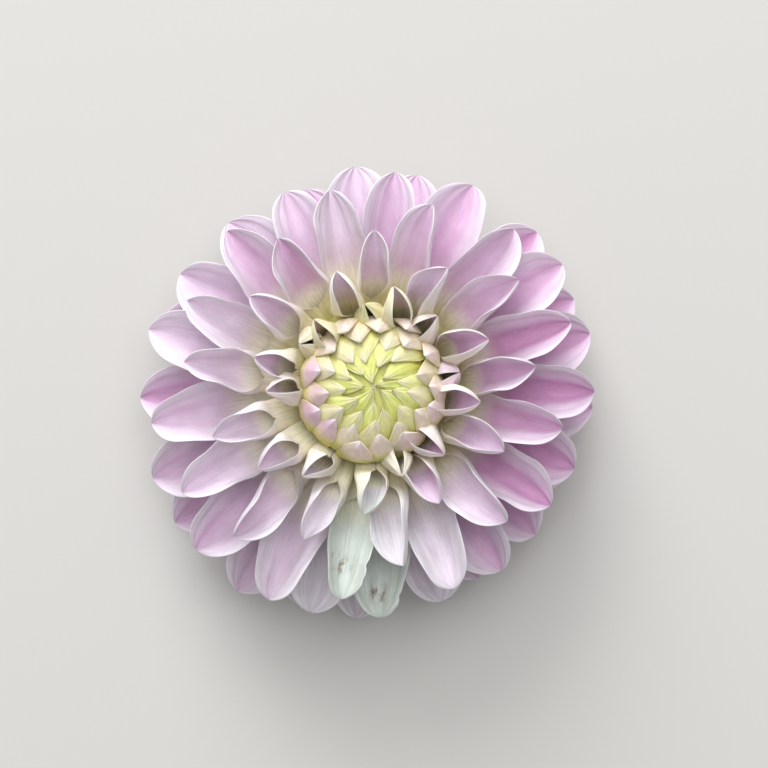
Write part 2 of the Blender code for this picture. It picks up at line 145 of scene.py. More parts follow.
# Half width from which a floret has its full relief.
FULL_RELIEF_WIDTH = 0.003

# Florets of their own kind, and where along a bruised one its mark lies.
GREENISH = (53, 74, 87)
BRUISED = (74, 87)
BRUISE_AT = 0.84

# Rosy, pale and green side of the bloom, and the dome's cream side: direction and spread.
TINTED_SIDES = ((5.0, 60.0), (268.0, 30.0), (105.0, 45.0))
CREAM_DOME_SIDE = (90.0, 60.0)

# The unopened florets.  Spacing, inset, distance and widths are lengths, the scale's length
# and its lowest foot are angles over the dome, and the others are shares of the dome's size.
SCALE_SPACING = 0.00205
SCALE_INSET = 0.00235
SCALE_LEAST_DISTANCE = 0.0003
SCALE_LENGTH = 46.0
SCALE_LOWEST_FOOT = 97.0
SCALE_HALF_WIDTH = 0.0034
SCALE_WIDENING = 0.0006
SCALE_LEVEL = 0.850
SCALE_KEEL = 0.075
SCALE_THICKNESS = 0.045
ROSY_SCALES = (30, 35, 38, 43)

# The growing point under the scales: shares of the dome's radius and rise, and its folds.
CORE_WIDTH = 0.81
CORE_RISE = 0.85
CORE_FOLDS = 5
CORE_FOLD_HEIGHT = 0.0002

# Outline of the receptacle, from the collar over the shoulder to the foot of the dome: shares
# of the reach and of the height.  Its bumps are the feet of the florets: their height, their
# number round the axis, and their pace up the side in radians for each metre.
RECEPTACLE = ((0.0, 0.286), (0.10, 0.288), (0.24, 0.290), (0.38, 0.380), (0.41, 0.500),
              (0.375, 0.585), (0.29, 0.615), (0.10, 0.620), (0.0, 0.620))
FOOT_BUMP = 0.00025
FEET_ROUND = 34
FEET_UP = 2600

# Outline of the stem and the cup, down the stem's hollow to the cut face and up outside:
# shares of the cup's radius and height.
STEM = ((0.0, 0.45), (0.09, 0.42), (0.13, 0.20), (0.14, 0.02), (0.20, 0.0), (0.39, 0.0),
        (0.42, 0.03), (0.43, 0.10), (0.43, 0.45), (0.50, 0.58), (0.74, 0.66), (0.98, 0.78),
        (1.02, 0.90), (0.94, 1.0), (0.50, 1.02), (0.0, 1.02))
CUP_RADIUS = 0.0084
STEM_RIDGES = 9
RIDGE_HEIGHT = 0.00010

# Relief of the bracts, and how far every other one is set lower.
RIB_HEIGHT = 0.00006
BRACT_WAVE = 0.0004
BRACT_LIFT = 0.0008
BRACT_STEP = 0.0006

# The pieces of open florets, and the floret that each one ends before.
FLORET_PIECES = {"ring_florets": 61, "inner_florets": 80, "middle_florets": 99,
                 "back_florets": FLORETS}

# Patterns that shade every petal and leaf: their stretch across and along it, their detail and
# roughness, and the darkest and the lightest shade.  Most of the noise is within its range.
# Below them are the strength of the flush in and between veins, and a bruise's blots.
NOISE_RANGE = (0.3, 0.7)
SHADING = {
    "veins": ((46.0, 1.6, 1.0), 4.0, 0.6, 0.81, 1.10),
    "grain": ((130.0, 18.0, 1.0), 2.0, 0.5, 0.92, 1.06),
    "mottle": ((5.0, 6.0, 1.0), 3.0, 0.5, 0.88, 1.08),
}
FLUSH_IN_VEINS = (0.55, 1.25)
BLOTS = ((9.0, 13.0, 1.0), 5.0, 0.7)
BLOT_EDGES = (0.48, 0.60)
VEIN_STRENGTH = 0.8

# Roughness, translucence and depth of the veins of each finish.
FINISHES = {
    "lavender_petals": (0.52, 0.18, 0.00012),
    "yellow_green_buds": (0.50, 0.18, 0.00005),
    "receptacle_green": (0.60, 0.20, 0.00003),
    "papery_bracts": (0.45, 0.30, 0.00005),
    "leafy_green": (0.55, 0.20, 0.00006),
    "green_stem": (0.50, 0.15, 0.00004),
}

# The stage.  Each lamp has a place and the side of its square.  The camera looks straight down
# and sees the view's width at the view's level.
FLOOR_SIDE = 12.0
LAMPS = {"key": ((-0.45, 1.55, 0.85), 1.0), "overhead": ((0.0, 0.60, 1.50), 1.4)}
SENSOR_WIDTH = 36.0
VIEW_MIDDLE = (0.0035, 0.0020)
VIEW_WIDTH = 0.1684
VIEW_LEVEL = 0.015


def crowded(low, count):
    """Places from low to 1 that lie closer together towards 1 and -1: sin(pi u / 2)."""
    return np.sin(np.linspace(low, 1, count) * math.pi / 2)


# The rows and columns of each kind of blade, closer together at tips and margins.
FLORET_GRID = (0.10 + 0.90 * crowded(0, 54) ** 1.1, crowded(-1, 33))
SCALE_GRID = (crowded(0, 26) ** 0.9, crowded(-1, 19))
BRACT_GRID = (crowded(0, 34) ** 1.1, crowded(-1, 25))


# ---- properties

def colour(name, description, default):
    """A colour property in linear values."""
    return bpy.props.FloatVectorProperty(name=name, description=description, default=default,
                                         subtype="COLOR", size=3, min=0.0, max=1.0)


def length(name, description, default):
    """A length property in metres."""
    return bpy.props.FloatProperty(name=name, description=description, default=default,
                                   unit="LENGTH", precision=5)


def power(name, description, default):
    """A lamp's power in watts."""
    return bpy.props.FloatProperty(name=name, description=description, default=default,
                                   unit="POWER", min=0.0)


class DahliaSizes(bpy.types.PropertyGroup):
    """The sizes of the bloom and the relief of its petals."""

    reach: length("Reach", "Distance of the back florets' tips from the axis", BLOOM_REACH)
    height: length("Height", "Height of the dome's top over the surface", BLOOM_HEIGHT)
    petal_thickness: length("Petal thickness", "Thickness of the florets' blades", 0.00030)
    bract_thickness: length("Bract thickness", "Thickness of the papery bracts", 0.00035)
    leaf_thickness: length("Leaf thickness", "Thickness of the green outer bracts", 0.00050)
    pleat_depth: length("Pleat depth", "Height of the long pleats along each floret", 0.00015)
    margin_wave: length("Margin wave", "How far the petals' margins wave in and out", 0.00022)
    seed: bpy.props.IntProperty(name="Seed", description="Seed of the florets' small departures",
                                default=SEED, min=0)


class DahliaColours(bpy.types.PropertyGroup):
    """The colours of the petals, bracts and stem."""

    petal: colour("Petal", "Palest lavender of the petals", (0.91, 0.86, 0.94))
    flush: colour("Flush", "Lavender pink inside the cups", (0.67, 0.39, 0.62))
    magenta: colour("Magenta", "Deepest pink, along the midribs", (0.55, 0.16, 0.42))
    # Margin: pale petal margins, partly painted glow of light through the thin rims; it also
    # lightens the mouths' lining as painted glow, and pales the scales' tips.
    margin: colour("Margin", "Pale petal margins", (0.92, 0.90, 0.92))
    # Cream also lines the mouths inside, where it is partly painted glow.
    cream: colour("Cream", "Rolled claws and young tubes", (0.95, 0.88, 0.62))
    # Throat: the florets' own yellow green at their feet, also laid as painted shade in the bloom's
    # grooves, at the feet and sides of the dome's scales, on the growing point under them and in
    # the receptacle's hollows.
    throat: colour("Throat", "Yellow green at the foot of the florets", (0.62, 0.57, 0.12))
    mint: colour("Mint", "Greenish white of the paler florets", (0.66, 0.74, 0.67))
    bruise: colour("Bruise", "Brown marks near nibbled tips", (0.20, 0.13, 0.05))
    scale: colour("Scale", "Cream of the unopened florets", (0.86, 0.75, 0.58))
    bud: colour("Bud", "Bright yellow green of the dome's middle", (0.72, 0.77, 0.22))
    bract: colour("Bract", "Papery inner bracts", (0.60, 0.58, 0.30))
    bract_pale: colour("Bract edge", "Edges of the papery bracts", (0.80, 0.76, 0.58))
    bract_vein: colour("Bract vein", "Veins of the papery bracts", (0.44, 0.40, 0.16))
    leaf: colour("Leaf", "Green outer bracts and stem", (0.12, 0.24, 0.05))
    leaf_pale: colour("Leaf edge", "Edges of the outer bracts", (0.34, 0.46, 0.16))
    leaf_vein: colour("Leaf vein", "Veins of the outer bracts", (0.22, 0.36, 0.10))
    leaf_foot: colour("Leaf foot", "Feet of the outer bracts", (0.30, 0.42, 0.12))
    cup_pale: colour("Cup", "Pale green of the cup's rim", (0.30, 0.42, 0.14))
    stem_ridge: colour("Stem ridge", "Ridges up the stem", (0.20, 0.34, 0.09))
    pith: colour("Pith", "Cut face of the stem", (0.66, 0.68, 0.42))


class DahliaStage(bpy.types.PropertyGroup):
    """The floor, the light and the camera."""

    floor: colour("Floor", "Colour of the plain floor", (0.62, 0.61, 0.59))
    camera_height: length("Camera height", "Height of the camera over the surface", 0.45)
    key_power: power("Key power", "Power of the soft light from the far side", 28.0)
    overhead_power: power("Overhead power", "Power of the soft light from above", 16.0)
    fill: bpy.props.FloatProperty(name="Fill", description="Strength of the light all round",
                                  default=0.37, min=0.0)


# ---- the spiral and its stages

def azimuth(k):
    """Direction of floret k round the axis: one divergence back from floret k - 1, in radians."""
    return np.radians(APEX_AZIMUTH - DIVERGENCE * k)


def facing(k, side, turns=1):
    """Cosine of a floret's angle from a side of the bloom, or of that angle taken twice."""
    return np.cos(turns * (azimuth(k) - math.radians(side)))


def maturity(k):
    """The floret's count from the first open one, plus a lead on the side that opened first."""
    return k - DOME_FLORETS + YOUNGEST + 1 + OPEN_SIDE_LEAD * facing(k, OPEN_SIDE)


def stage_of(values, age):
    """Linear blend between evenly spaced stages, for ages from 0 (youngest) to 1 (oldest)."""
    return np.interp(age * (len(values) - 1), np.arange(len(values)), values)


def variations(seed):
    """Each floret's seeded departures, with a column for each kind."""
    draws = np.random.default_rng(seed).normal(size=(FLORETS, 5))
    return np.clip(draws, -2.0, 2.0) * DEPARTURES


def characters(seed):
    """Seeded numbers from -1 to 1 for what only shows close up: bends, waves and colour."""
    return np.random.default_rng(seed + 1).uniform(-1, 1, size=(FLORETS, 8))


def per_blade(numbers):
    """One number for each blade, ready to meet its rows and columns."""
    return numbers[:, None, None]


def smooth(low, high, value):
    """0 below low, 1 above high, and 3 u^2 - 2 u^3 between them."""
    u = np.clip((value - low) / (high - low), 0, 1)
    return u * u * (3 - 2 * u)


def hill(value, middle, width):
    """A bell of height 1 round the middle: exp(-(distance / width)^2)."""
    return np.exp(-((value - middle) / width) ** 2)


def nearness(k, side):
    """A bell round a side of the bloom: 1 in its direction, and fading over its spread."""
    direction, spread = side
    away = (np.degrees(azimuth(k)) - direction + 180) % 360 - 180
    return per_blade(hill(away, 0, spread))


def around(out, side, heading, up):
    """Points at a distance out and a distance sideways, turned by the heading, at a height."""
    return np.stack((out * np.cos(heading) - side * np.sin(heading),
                     out * np.sin(heading) + side * np.cos(heading), up + 0 * side), axis=-1)


def lip(t, x, along, across):
    """How a blade's thickness ends at its tip and margins: sqrt(1 - t^a) sqrt(1 - |x|^b)."""
    return np.sqrt(1 - t ** along) * np.sqrt(1 - np.abs(x) ** across)


# ---- open florets

def even_pace(share):
    """The Bezier's parameter t where 1.5 t - 1.5 t^2 + t^3 is a share of the floret's length."""
    fine = np.linspace(0, 1, 401)
    return np.interp(share, 1.5 * fine - 1.5 * fine ** 2 + fine ** 3, fine)


def heading_of(slope):
    """The unit step outwards and upwards at a slope in degrees."""
    return np.stack((np.cos(np.radians(slope)), np.sin(np.radians(slope))), axis=-1)


def bezier(knots, t):
    """The cubic (1 - t)^3 a + 3 t (1 - t)^2 b + 3 t^2 (1 - t) c + t^3 d through its knots."""
    return ((1 - t) ** 3 * knots[0] + 3 * t * (1 - t) ** 2 * knots[1]
            + 3 * t ** 2 * (1 - t) * knots[2] + t ** 3 * knots[3])


def midrib(k, age, t, sizes, change):
    """Distance from the axis, height and slope along the midrib, for florets k and rows t.

    A cubic Bezier from the root on the receptacle to the tip.  The tip's distance is
    reach (1 + lean cos a + oval cos 2b) - (reach - youngest) exp(-g |g|), with g the growth.
    """
    root_radius = ROOT_RADIUS * sizes.reach * np.sqrt((k + 0.5) / FLORETS)
    crown = 1 - (k + 0.5) / FLORETS
    root = np.stack((root_radius, sizes.height * (ROOT_RIM_HEIGHT + ROOT_CROWN * crown)), axis=-1)
    growth = (maturity(k) - YOUNGEST) / REACH_GROWTH
    lean = 1 + LEAN * facing(k, LEAN_SIDE) + OVAL * facing(k, LONG_SIDE, turns=2)
    young = (1 - REACH_OF_YOUNGEST) * np.exp(-growth * np.abs(growth))
    reach = sizes.reach * (lean - young) * (1 + change[:, REACH])
    tip = np.stack((reach, sizes.height * stage_of(TIP_HEIGHT, age) + change[:, LIFT]), axis=-1)
    arm = ARM * np.linalg.norm(tip - root, axis=-1, keepdims=True)
    first = root + arm * heading_of(stage_of(ROOT_SLOPE, age))
    second = tip - arm * heading_of(stage_of(TIP_SLOPE, age))
    knots = [knot[:, None] for knot in (root, first, second, tip)]
    t = even_pace(t)[None, :, None]
    step = ((1 - t) ** 2 * (knots[1] - knots[0]) + 2 * t * (1 - t) * (knots[2] - knots[1])
            + t ** 2 * (knots[3] - knots[2]))
    point = bezier(knots, t)
    return point[..., 0], point[..., 1], np.arctan2(step[..., 1], step[..., 0])


def outline(t, age):
    """Half width along the floret as a share of the widest, for rows t and florets' ages.

    A claw that widens as a sine, then an arch (1 - u^2.2)^q to a small drawn-out point, with q
    from 0.46 on the youngest florets to 0.80 on the oldest.
    """
    widest = WIDEST_AT - WIDEST_SHIFT * age[:, None]
    swell = np.sin(np.clip(t[None] / widest, 0, 1) * math.pi / 2)
    claw = CLAW_WIDTH + (1 - CLAW_WIDTH) * swell
    u = np.clip((t[None] - widest) / (1 - widest), 0, 1)
    point = (1 - u ** 2.2) ** (0.46 + 0.34 * age[:, None])
    spur = SPUR_WIDTH * (1 - u) ** 0.5
    return np.maximum(claw * np.maximum(point, spur), LEAST_WIDTH)


def rolled_section(k, age, t, x, character):
    """The cross-section of each floret at each row, for columns x from margin to margin.

    The tangent turns from flat at the midrib to the roll angle at the margin, and the section
    is the tangent's integral.  A crease puts part of the turn close to the midrib.  In the
    claw one side rolls further than the other, so that its margin tucks under.
    """
    longer = LONG_CLAW_CHANGE * facing(k, LONG_CLAW_SIDE)
    rolled = (stage_of(ROLLED_SHARE, age) + longer)[:, None]
    opened = np.clip((t[None] - rolled) / (1 - rolled), 0, 1)
    middle_roll, tip_roll = (stage_of(rolls, age)[:, None] for rolls in (MIDDLE_ROLL, TIP_ROLL))
    closing = (1 - opened) ** stage_of(UNROLLING, age)[:, None]
    roll = np.radians(middle_roll + (CLAW_ROLL - middle_roll) * closing
                      + (tip_roll - middle_roll) * opened ** 1.5)
    crease = (stage_of(CREASE, age)[:, None] * smooth(0.0, 0.7, opened))[..., None]
    tuck = np.sign(character[:, TUCKED_SIDE]) * TUCK
    steps = np.linspace(0, 1, SECTION_STEPS + 1)
    shape = (1 - crease) * steps + crease * np.tanh(steps / CREASE_REACH)
    across, up, turn = (np.zeros(opened.shape + x.shape) for _ in range(3))
    start = np.zeros(opened.shape + (1,))
    for side in (-1, 1):
        bias = 1 + side * tuck[:, None] * (1 - opened) ** 0.7
        angle = (roll * bias)[..., None] * shape
        middle = (angle[..., 1:] + angle[..., :-1]) / 2
        arm, rise = (np.concatenate((start, np.cumsum(part, axis=-1) / SECTION_STEPS), axis=-1)
                     for part in (np.cos(middle), np.sin(middle)))
        half = x * side > 0
        pick = np.rint(np.abs(x[half]) * SECTION_STEPS).astype(int)
        across[..., half] = arm[..., pick] * side
        up[..., half] = rise[..., pick]
        turn[..., half] = angle[..., pick] * side
    return across, up, turn, opened


def relief(t, x, opened, sizes, character):
    """Height of the pleats and margin waves over the smooth section.

    Pleats are cosines of 5 and 9 half waves across the blade that fade towards the claw and the
    margins.  Waves are two sines along the blade that grow with the fourth power of x.
    """
    phase = per_blade(character[:, PHASE]) * math.pi
    x, t = x[None, None], t[None, :, None]
    fade = smooth(0.0, 0.35, opened)[..., None] * (1 - x ** 6)
    pleats = np.cos(x * 5.0 * math.pi) + 0.5 * np.cos(x * 9.0 * math.pi + phase)
    wave = np.sin(t * 19 + 3 * phase + np.sign(x)) + 0.6 * np.sin(t * 31 - phase * np.sign(x))
    return (sizes.pleat_depth * pleats * fade
            + sizes.margin_wave * wave * np.abs(x) ** 4 * smooth(0.0, 0.5, opened)[..., None])


def bruise_place(character):
    """Where along each floret a bruise would lie, from its own seeded number."""
    return BRUISE_AT + 0.05 * per_blade(character[:, MARK_PLACE])


def nibbles(k, t, x, character):
    """What two bites leave of a bruised floret's half width: 1 less two bells on one margin."""
    bruised = per_blade(np.isin(k, BRUISED))
    place = bruise_place(character)
    bite = (0.09 * hill(t[None, :, None], place, 0.016)
            + 0.06 * hill(t[None, :, None], place + 0.070, 0.010))
    return 1 - bruised * bite * smooth(0.1, 1.0, x[None, None])


def placed(k, radius, height, slope, across, up, heading, twist):
    """Carries sections along their midribs: twisted, tilted by the slope, turned by the heading."""
    side = across * np.cos(twist) - up * np.sin(twist)
    lift = across * np.sin(twist) + up * np.cos(twist)
    out = radius[..., None] - lift * np.sin(slope)[..., None]
    return AXIS + around(out, side, heading, height[..., None] + lift * np.cos(slope)[..., None])


def open_florets(k, t, x, sizes):
    """The outer and inner face of florets k, with their age, opening and distance out.

    Each section is scaled by the half width, and the claw's is flattened and spread.  The faces
    stand the thickness apart along the section's normal, and meet in a rounded lip.
    """
    change = variations(sizes.seed)[k]
    character = characters(sizes.seed)[k]
    age = np.clip((maturity(k) - YOUNGEST) / (OLDEST - YOUNGEST), 0, 1)
    radius, height, slope = midrib(k, age, t, sizes, change)
    width = stage_of(HALF_WIDTH, age) * sizes.reach * (1 + change[:, WIDTH])
    width = (width[:, None] * outline(t, age))[..., None] * nibbles(k, t, x, character)
    across, up, turn, opened = rolled_section(k, age, t, x, character)
    flat = (1 - opened)[..., None] ** 1.5
    across = across * (1 + CLAW_SPREAD * flat)
    up = up * (1 - per_blade(stage_of(FLATTENING, age)) * flat)
    raised = relief(t, x, opened, sizes, character) * np.minimum(1, width / FULL_RELIEF_WIDTH)
    rows = t[None, :, None]
    young = per_blade(1 - age) ** 3
    heading = (per_blade(azimuth(k)) + np.radians(per_blade(change[:, YAW])) * rows
               + YOUNG_BEND * young * per_blade(character[:, BEND]) * rows ** 2)
    twist = np.radians(per_blade(change[:, TWIST]) * (1 + YOUNG_TWIST * young)) * rows
    faces = []
    for inset in (0.0, sizes.petal_thickness):
        offset = raised + inset * lip(rows, x, 60, 24)
        faces.append(placed(k, radius, height, slope, across * width - np.sin(turn) * offset,
                            up * width + np.cos(turn) * offset, heading, twist))
    return faces, age, opened, radius


def floret_tints(k, age, opened, t, x, distance, level, character):
    """Weights of the colours on both faces of each floret, each from 0 to 1.

    Flush grows along the blade and fades at the margins, and is magenta where it is deepest.
    Cream covers the claws outside and lines the mouths; inside it is partly the claws' own cream
    and partly painted glow of light through the thin petals.  The throat's yellow green fills the
    grooves, where the distance and the level, shares of the reach and the height, are low: partly
    the florets' own colour at their feet and partly painted shade.  Pale margins are partly
    painted glow too.  The youngest florets blush outside.  Florets differ by the side of the
    bloom that they are on.
    """
    across, x, rows = x[None, None], np.abs(x)[None, None], t[None, :, None]
    age, opened, distance = per_blade(age), opened[..., None], distance[..., None]
    rosy_side, pale_side, green_side = (nearness(k, side) for side in TINTED_SIDES)
    own = 0.46 + 0.38 * age + 0.22 * per_blade(character[:, FLUSHED])
    strength = np.clip(own + 0.42 * rosy_side * (1 - 0.4 * age) - 0.22 * pale_side, 0.05, 1)
    young = 1 - smooth(0.0, 0.30, age)
    middle = 1 - (0.85 - 0.25 * age) * smooth(0.10, 1.0, x)
    inner = strength * middle * smooth(0.0, 0.35 - 0.20 * young, opened)
    outer = 0.46 * strength * smooth(0.34 + 0.10 * green_side, 0.60, distance) * (1 - 0.3 * x)
    blush = strength * young * (1 - green_side) * smooth(0.5, 0.9, rows)
    outer = np.maximum(outer, 0.9 * blush)
    cream = 0.9 * np.maximum(1 - smooth(0.40, 0.62, distance), 0.6 * young) * (1 - blush)
    # Inside the rolled claws: the claws' own cream, lightened with the pale margin colour as
    # painted glow of light through the thin petals into the mouths.
    lining_and_glow = 1 - smooth(0.0, 0.38 - 0.22 * young, opened)
    # The throat colour, low in the bloom near the dome: partly the florets' own yellow green at
    # their feet, partly painted shade in the groove.
    groove_shade = (1 - smooth(0.52, 0.76, level)) * (1 - smooth(0.36, 0.50, distance))
    throat = np.maximum(0.9 * groove_shade, 0.5 * green_side * (1 - smooth(0.34, 0.50, distance)))
    mint = np.clip(per_blade(np.isin(k, GREENISH)) + 0.35 * pale_side, 0, 1)
    mint = 0.85 * mint * smooth(0.40, 0.55, distance)
    deep = smooth(0.70, 1.0, inner)
    marks = (per_blade(np.isin(k, BRUISED)) * hill(rows, bruise_place(character), 0.05)
             * hill(across, 0.35 * per_blade(character[:, MARK_SIDE]), 0.40))
    # Pale margins: partly the petals' own paler edge, partly painted glow of light through the thin
    # rims.
    pale_and_glowing_margin = (0.22 * x ** 8 + 0.12 * x ** 40) * smooth(0.0, 0.12, opened) * (1 - 0.7 * age)
    shared = {"mint": mint, "throat": throat, "bruise": marks}
    return {
        "outer": {"flush": outer * (1 - mint), "magenta": 0 * age, "cream": cream,
                  "margin": pale_and_glowing_margin, **shared},
        "inner": {"flush": inner * (1 - mint), "magenta": deep * (0.7 - 0.6 * age),
                  "cream": 0.75 * lining_and_glow, "margin": np.maximum(pale_and_glowing_margin, 0.15 * lining_and_glow),
                  **shared},
    }


# ---- meshes

def pillow(count, rows, columns):
    """Quads of blades whose outer and inner face share their borders, and the vertex layout.

    Each blade's outer grid comes first, then the inside of its inner grid.
    """
    outer = np.arange(rows * columns).reshape(rows, columns)
    inner = outer.copy()
    inside = inner[1:-1, 1:-1]
    inside[:] = outer.size + np.arange(inside.size).reshape(inside.shape)
    down = np.stack((outer[:-1, :-1], outer[:-1, 1:], outer[1:, 1:], outer[1:, :-1]), axis=-1)
    back = np.stack((inner[:-1, :-1], inner[1:, :-1], inner[1:, 1:], inner[:-1, 1:]), axis=-1)
    quads = np.concatenate((down.reshape(-1, 4), back.reshape(-1, 4)))
    size = outer.size + inside.size
    return (quads[None] + size * per_blade(np.arange(count))).reshape(-1, 4)


def pillow_values(outer, inner):
    """Lays out values of the two faces in the order of the pillow's vertices."""
    count, tail = outer.shape[0], outer.shape[3:]
    return np.concatenate((outer.reshape(count, -1, *tail),
                           inner[:, 1:-1, 1:-1].reshape(count, -1, *tail)), axis=1)


def surface(name, points, faces, tints, pattern):
    """A smooth mesh object from its points, groups of faces, tint weights and pattern places."""
    mesh = bpy.data.meshes.new(name)
    mesh.vertices.add(len(points))
    mesh.vertices.foreach_set("co", points.astype(np.float32).ravel())
    corners = np.concatenate([group.ravel() for group in faces]).astype(np.int32)
    sides = np.concatenate([np.full(len(group), group.shape[1]) for group in faces])
    mesh.loops.add(len(corners))
    mesh.loops.foreach_set("vertex_index", corners)
    mesh.polygons.add(len(sides))
    mesh.polygons.foreach_set("loop_start", (np.cumsum(sides) - sides).astype(np.int32))
    mesh.update(calc_edges=True)
    mesh.shade_smooth()
    for tint, values in tints.items():
        layer = mesh.attributes.new(tint, "FLOAT", "POINT")
        layer.data.foreach_set("value", values.astype(np.float32).ravel())
    uv = mesh.uv_layers.new(name="along")
    uv.data.foreach_set("uv", pattern[corners].astype(np.float32).ravel())
    if mesh.validate():
        raise RuntimeError(f"{name} has faces that Blender had to repair")
    piece = bpy.data.objects.new(name, mesh)
    bpy.context.scene.collection.objects.link(piece)
    return piece


def blade_piece(name, faces, tints, t, x, index):
    """One piece of several blades: their faces, tints, and a pattern that differs by blade."""
    grid = faces[0].shape[:3]
    points = pillow_values(*faces).reshape(-1, 3)
    laid = {tint: pillow_values(*(np.broadcast_to(tints[face][tint], grid)
                                  for face in ("outer", "inner"))).ravel()
            for tint in tints["outer"]}
    places = np.stack(np.broadcast_arrays(x[None, None] * 0.5 + 1.37 * per_blade(index),
                                          t[None, :, None]), axis=-1)
    return surface(name, points, [pillow(*grid)], laid,
                   pillow_values(places, places).reshape(-1, 2))


def smooth_profile(shares, out, up, rows):
    """A turned outline through corners at shares of out and up.

    Each point is rounded off to half of itself and a quarter of each neighbour.
    """
    corners = np.array(shares) * (out, up)
    places = np.linspace(0, len(corners) - 1, rows)
    line = np.stack([np.interp(places, np.arange(len(corners)), values)
                     for values in corners.T], axis=-1)
    line[1:-1] = (line[:-2] + 2 * line[1:-1] + line[2:]) / 4
    return line


def turned_grid(profile, segments):
    """The angles round the axis, and the radius and height of each row between the poles."""
    return (np.linspace(0, 2 * math.pi, segments, endpoint=False)[None],
            profile[1:-1, :1], profile[1:-1, 1:])


def turned_piece(name, profile, grid, relief, tints, bent=lambda points: points):
    """A closed surface turned about the axis, with relief pushed out along the radius.

    Each point is the profile's radius plus the relief, carried round the axis and then bent.
    The first and last points of the profile lie on the axis and close it as fans.  The pattern
    runs 6 times round the axis, and 40 times in each metre of height.
    """
    angle, radius, height = grid
    out = radius + relief
    rows, segments = out.shape
    ring = around(out, 0 * out, angle, height)
    poles = np.array([(0, 0, profile[0, 1]), (0, 0, profile[-1, 1])])
    points = AXIS + bent(np.concatenate((ring.reshape(-1, 3), poles)))
    index = np.arange(rows * segments).reshape(rows, segments)
    ahead = np.roll(index, -1, axis=1)
    quads = np.stack((index[:-1], ahead[:-1], ahead[1:], index[1:]), axis=-1).reshape(-1, 4)
    bottom, top = rows * segments, rows * segments + 1
    fans = np.concatenate((np.stack((ahead[0], index[0], 0 * index[0] + bottom), axis=-1),
                           np.stack((index[-1], ahead[-1], 0 * index[0] + top), axis=-1)))
    laid = {tint: np.concatenate(((values + 0 * out).ravel(), np.zeros(2)))
            for tint, values in tints.items()}
    pattern = np.stack((angle / (2 * math.pi) * 6 + 0 * out, height * 40 + 0 * out), axis=-1)
    pattern = np.concatenate((pattern.reshape(-1, 2), np.zeros((2, 2))))
    return surface(name, points, [quads, fans], laid, pattern)


def accept(piece, node, material):
    """Gives a finished piece its material, parents it to the root body, and hides the solid that it
    stands for.
    """
    piece.data.materials.append(material)
    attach(piece, "root")
    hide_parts(node)


# ---- materials

class Nodes:
    """Short forms for building a node tree."""

    def __init__(self, name):
        self.material = bpy.data.materials.new(name)
        self.material.use_nodes = True
        self.tree = self.material.node_tree
        self.shader = self.tree.nodes["Principled BSDF"]

    def node(self, kind, **settings):
        """A new node with its settings."""
        node = self.tree.nodes.new(kind)
        for setting, value in settings.items():
            setattr(node, setting, value)
        return node

    def link(self, source, target):
        """A link from an output to an input."""
        self.tree.links.new(source, target)

    def value_of(self, attribute):
        """The output of a named attribute."""
        return self.node("ShaderNodeAttribute", attribute_name=attribute).outputs["Fac"]

    def mix(self, factor, first, second, blend="MIX"):
        """A colour mix: sockets or colours."""
        node = self.node("ShaderNodeMix", data_type="RGBA", blend_type=blend)
        for index, value in ((0, factor), (6, first), (7, second)):
            socket = node.inputs[index]
            if isinstance(value, bpy.types.NodeSocket):
                self.link(value, socket)
            elif isinstance(value, float):
                socket.default_value = value
            else:
                socket.default_value = (*value, 1.0)
        return node.outputs[2]

    def times(self, first, second):
        """The product of two outputs."""
        node = self.node("ShaderNodeMath", operation="MULTIPLY")
        self.link(first, node.inputs[0])
        self.link(second, node.inputs[1])
        return node.outputs[0]

    def noise(self, stretch, detail, roughness):
        """A noise texture over the piece's own pattern coordinates, stretched."""
        uv = self.node("ShaderNodeUVMap", uv_map="along").outputs["UV"]
        mapping = self.node("ShaderNodeMapping")
        mapping.inputs["Scale"].default_value = stretch
        self.link(uv, mapping.inputs["Vector"])
        noise = self.node("ShaderNodeTexNoise")
        noise.inputs["Scale"].default_value = 1.0
        noise.inputs["Detail"].default_value = detail
        noise.inputs["Roughness"].default_value = roughness
        self.link(mapping.outputs["Vector"], noise.inputs["Vector"])
        return noise.outputs["Fac"]

    def ramp(self, value, edges, shades):
        """Grey from the first shade to the second as the value goes from edge to edge."""
        node = self.node("ShaderNodeMapRange")
        for socket, number in zip(node.inputs[1:5], (*edges, *shades)):
            socket.default_value = number
        self.link(value, node.inputs[0])
        return node.outputs[0]


